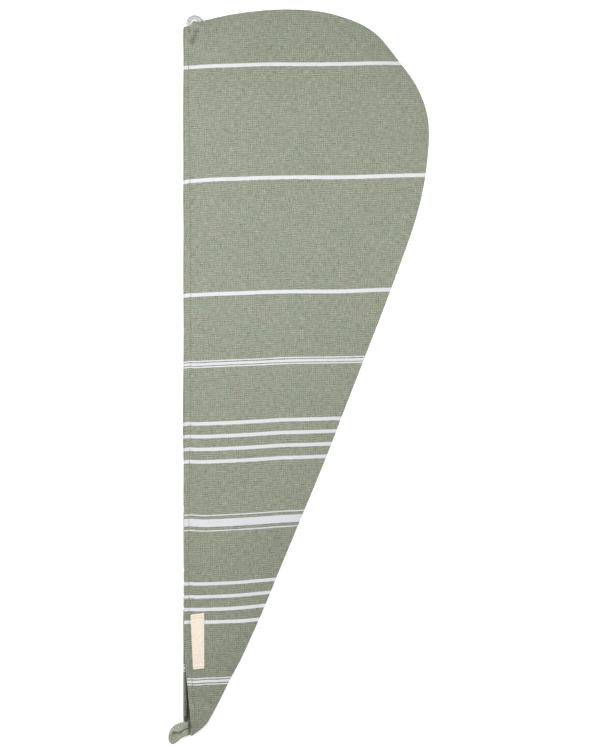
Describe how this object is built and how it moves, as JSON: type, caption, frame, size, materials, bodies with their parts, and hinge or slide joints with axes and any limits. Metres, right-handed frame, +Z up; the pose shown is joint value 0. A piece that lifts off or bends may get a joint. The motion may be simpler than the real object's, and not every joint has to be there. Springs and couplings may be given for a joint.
{
  "type": "hair towel",
  "caption": "Hair towel of striped flat-woven cotton, laid flat: two panels seamed round the curved side, an open hemmed mouth, a button and a strap loop.",
  "frame": {"origin": "centre of the whole towel's box on the table that it lies on", "axes": "+Y along the towel from the tail tip to the crown, +X across from the open mouth to the seam, +Z up from the table"},
  "size_m": [0.2444, 0.6894, 0.0179],
  "materials": {
    "cotton": "flat-woven sage cotton with white woven stripes",
    "pearl": "polished pearl grey",
    "label_tape": "cream woven tape"
  },
  "bodies": {
    "root": {"front_panel": "cotton", "back_panel": "cotton", "loop": "cotton", "button": "pearl", "label": "label_tape"}
  },
  "joints": []
}
